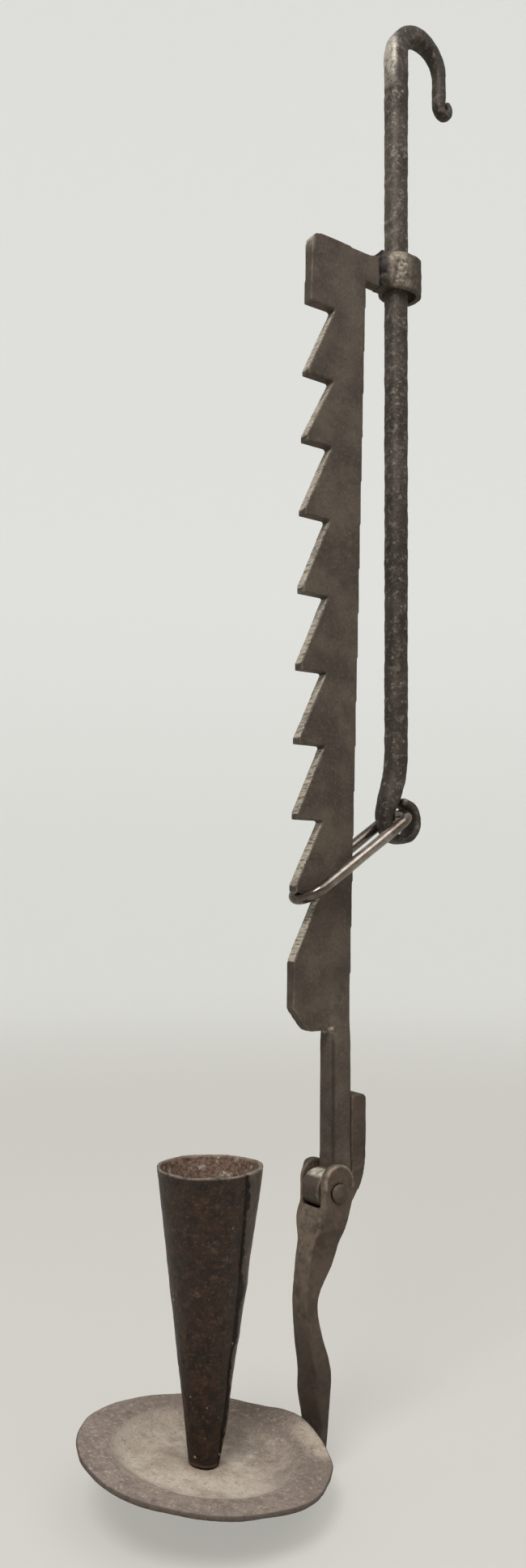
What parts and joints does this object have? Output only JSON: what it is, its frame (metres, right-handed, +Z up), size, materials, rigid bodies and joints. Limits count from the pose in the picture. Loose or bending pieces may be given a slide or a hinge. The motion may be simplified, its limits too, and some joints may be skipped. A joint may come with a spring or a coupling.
{
  "type": "trammel candle holder",
  "caption": "Hanging wrought-iron candle holder: a hook rod, a sliding sawtooth bar caught by a wire bail, and a hinged arm with a drip pan and a rolled conical candle socket.",
  "frame": {"origin": "inside crown of the hook, on the plane of symmetry", "axes": "+Z up along the hook rod; +X the way the hook opens, so the bar, arm and candle lie towards -X; +Y out of the bar's back face"},
  "size_m": [0.11, 0.061, 0.3829],
  "materials": {
    "hook_rod": "forged round rod, dark brown-grey, worn bright on the hook's crown",
    "guide_collar": "forge-welded strap, scaly, rough",
    "sawtooth_bar": "forged flat bar, fine dark grain, filed tooth slopes worn bright",
    "bail": "bent wire, rubbed smooth and shiny",
    "candle_arm": "forged strap, dark brown-grey with rust in the fork",
    "pivot_rivet": "hammered rivet, dark",
    "drip_pan": "beaten sheet, dusty grey-tan with a darker mottled rim",
    "candle_socket": "rolled sheet, near-black brown, pitted, worn along the mouth",
    "socket_rivet": "hammered rivet, dark"
  },
  "bodies": {
    "hook": {"hook_rod": "hook_rod"},
    "bar": {"sawtooth_bar": "sawtooth_bar", "guide_collar": "guide_collar"},
    "bail": {"bail": "bail"},
    "arm": {"candle_arm": "candle_arm", "pivot_rivet": "pivot_rivet", "drip_pan": "drip_pan", "candle_socket": "candle_socket", "socket_rivet": "socket_rivet"}
  },
  "joints": [
    {"name": "bar_slide", "type": "slide", "parent": "hook", "child": "bar", "axis": [0, 0, 1], "range_m": [0, 0.04]},
    {"name": "bail_swing", "type": "hinge", "parent": "hook", "child": "bail", "pos_m": [-0.00604, 0, -0.21497], "axis": [0, 1, 0], "range_deg": [0, 28]},
    {"name": "arm_fold", "type": "hinge", "parent": "bar", "child": "arm", "pos_m": [-0.03203, 0, -0.31112], "axis": [0, 1, 0], "range_deg": [0, 60]}
  ],
  "couplings": [
    {"joint": "bail_swing", "follows": "bar_slide", "rad_per_m": 12.2}
  ]
}
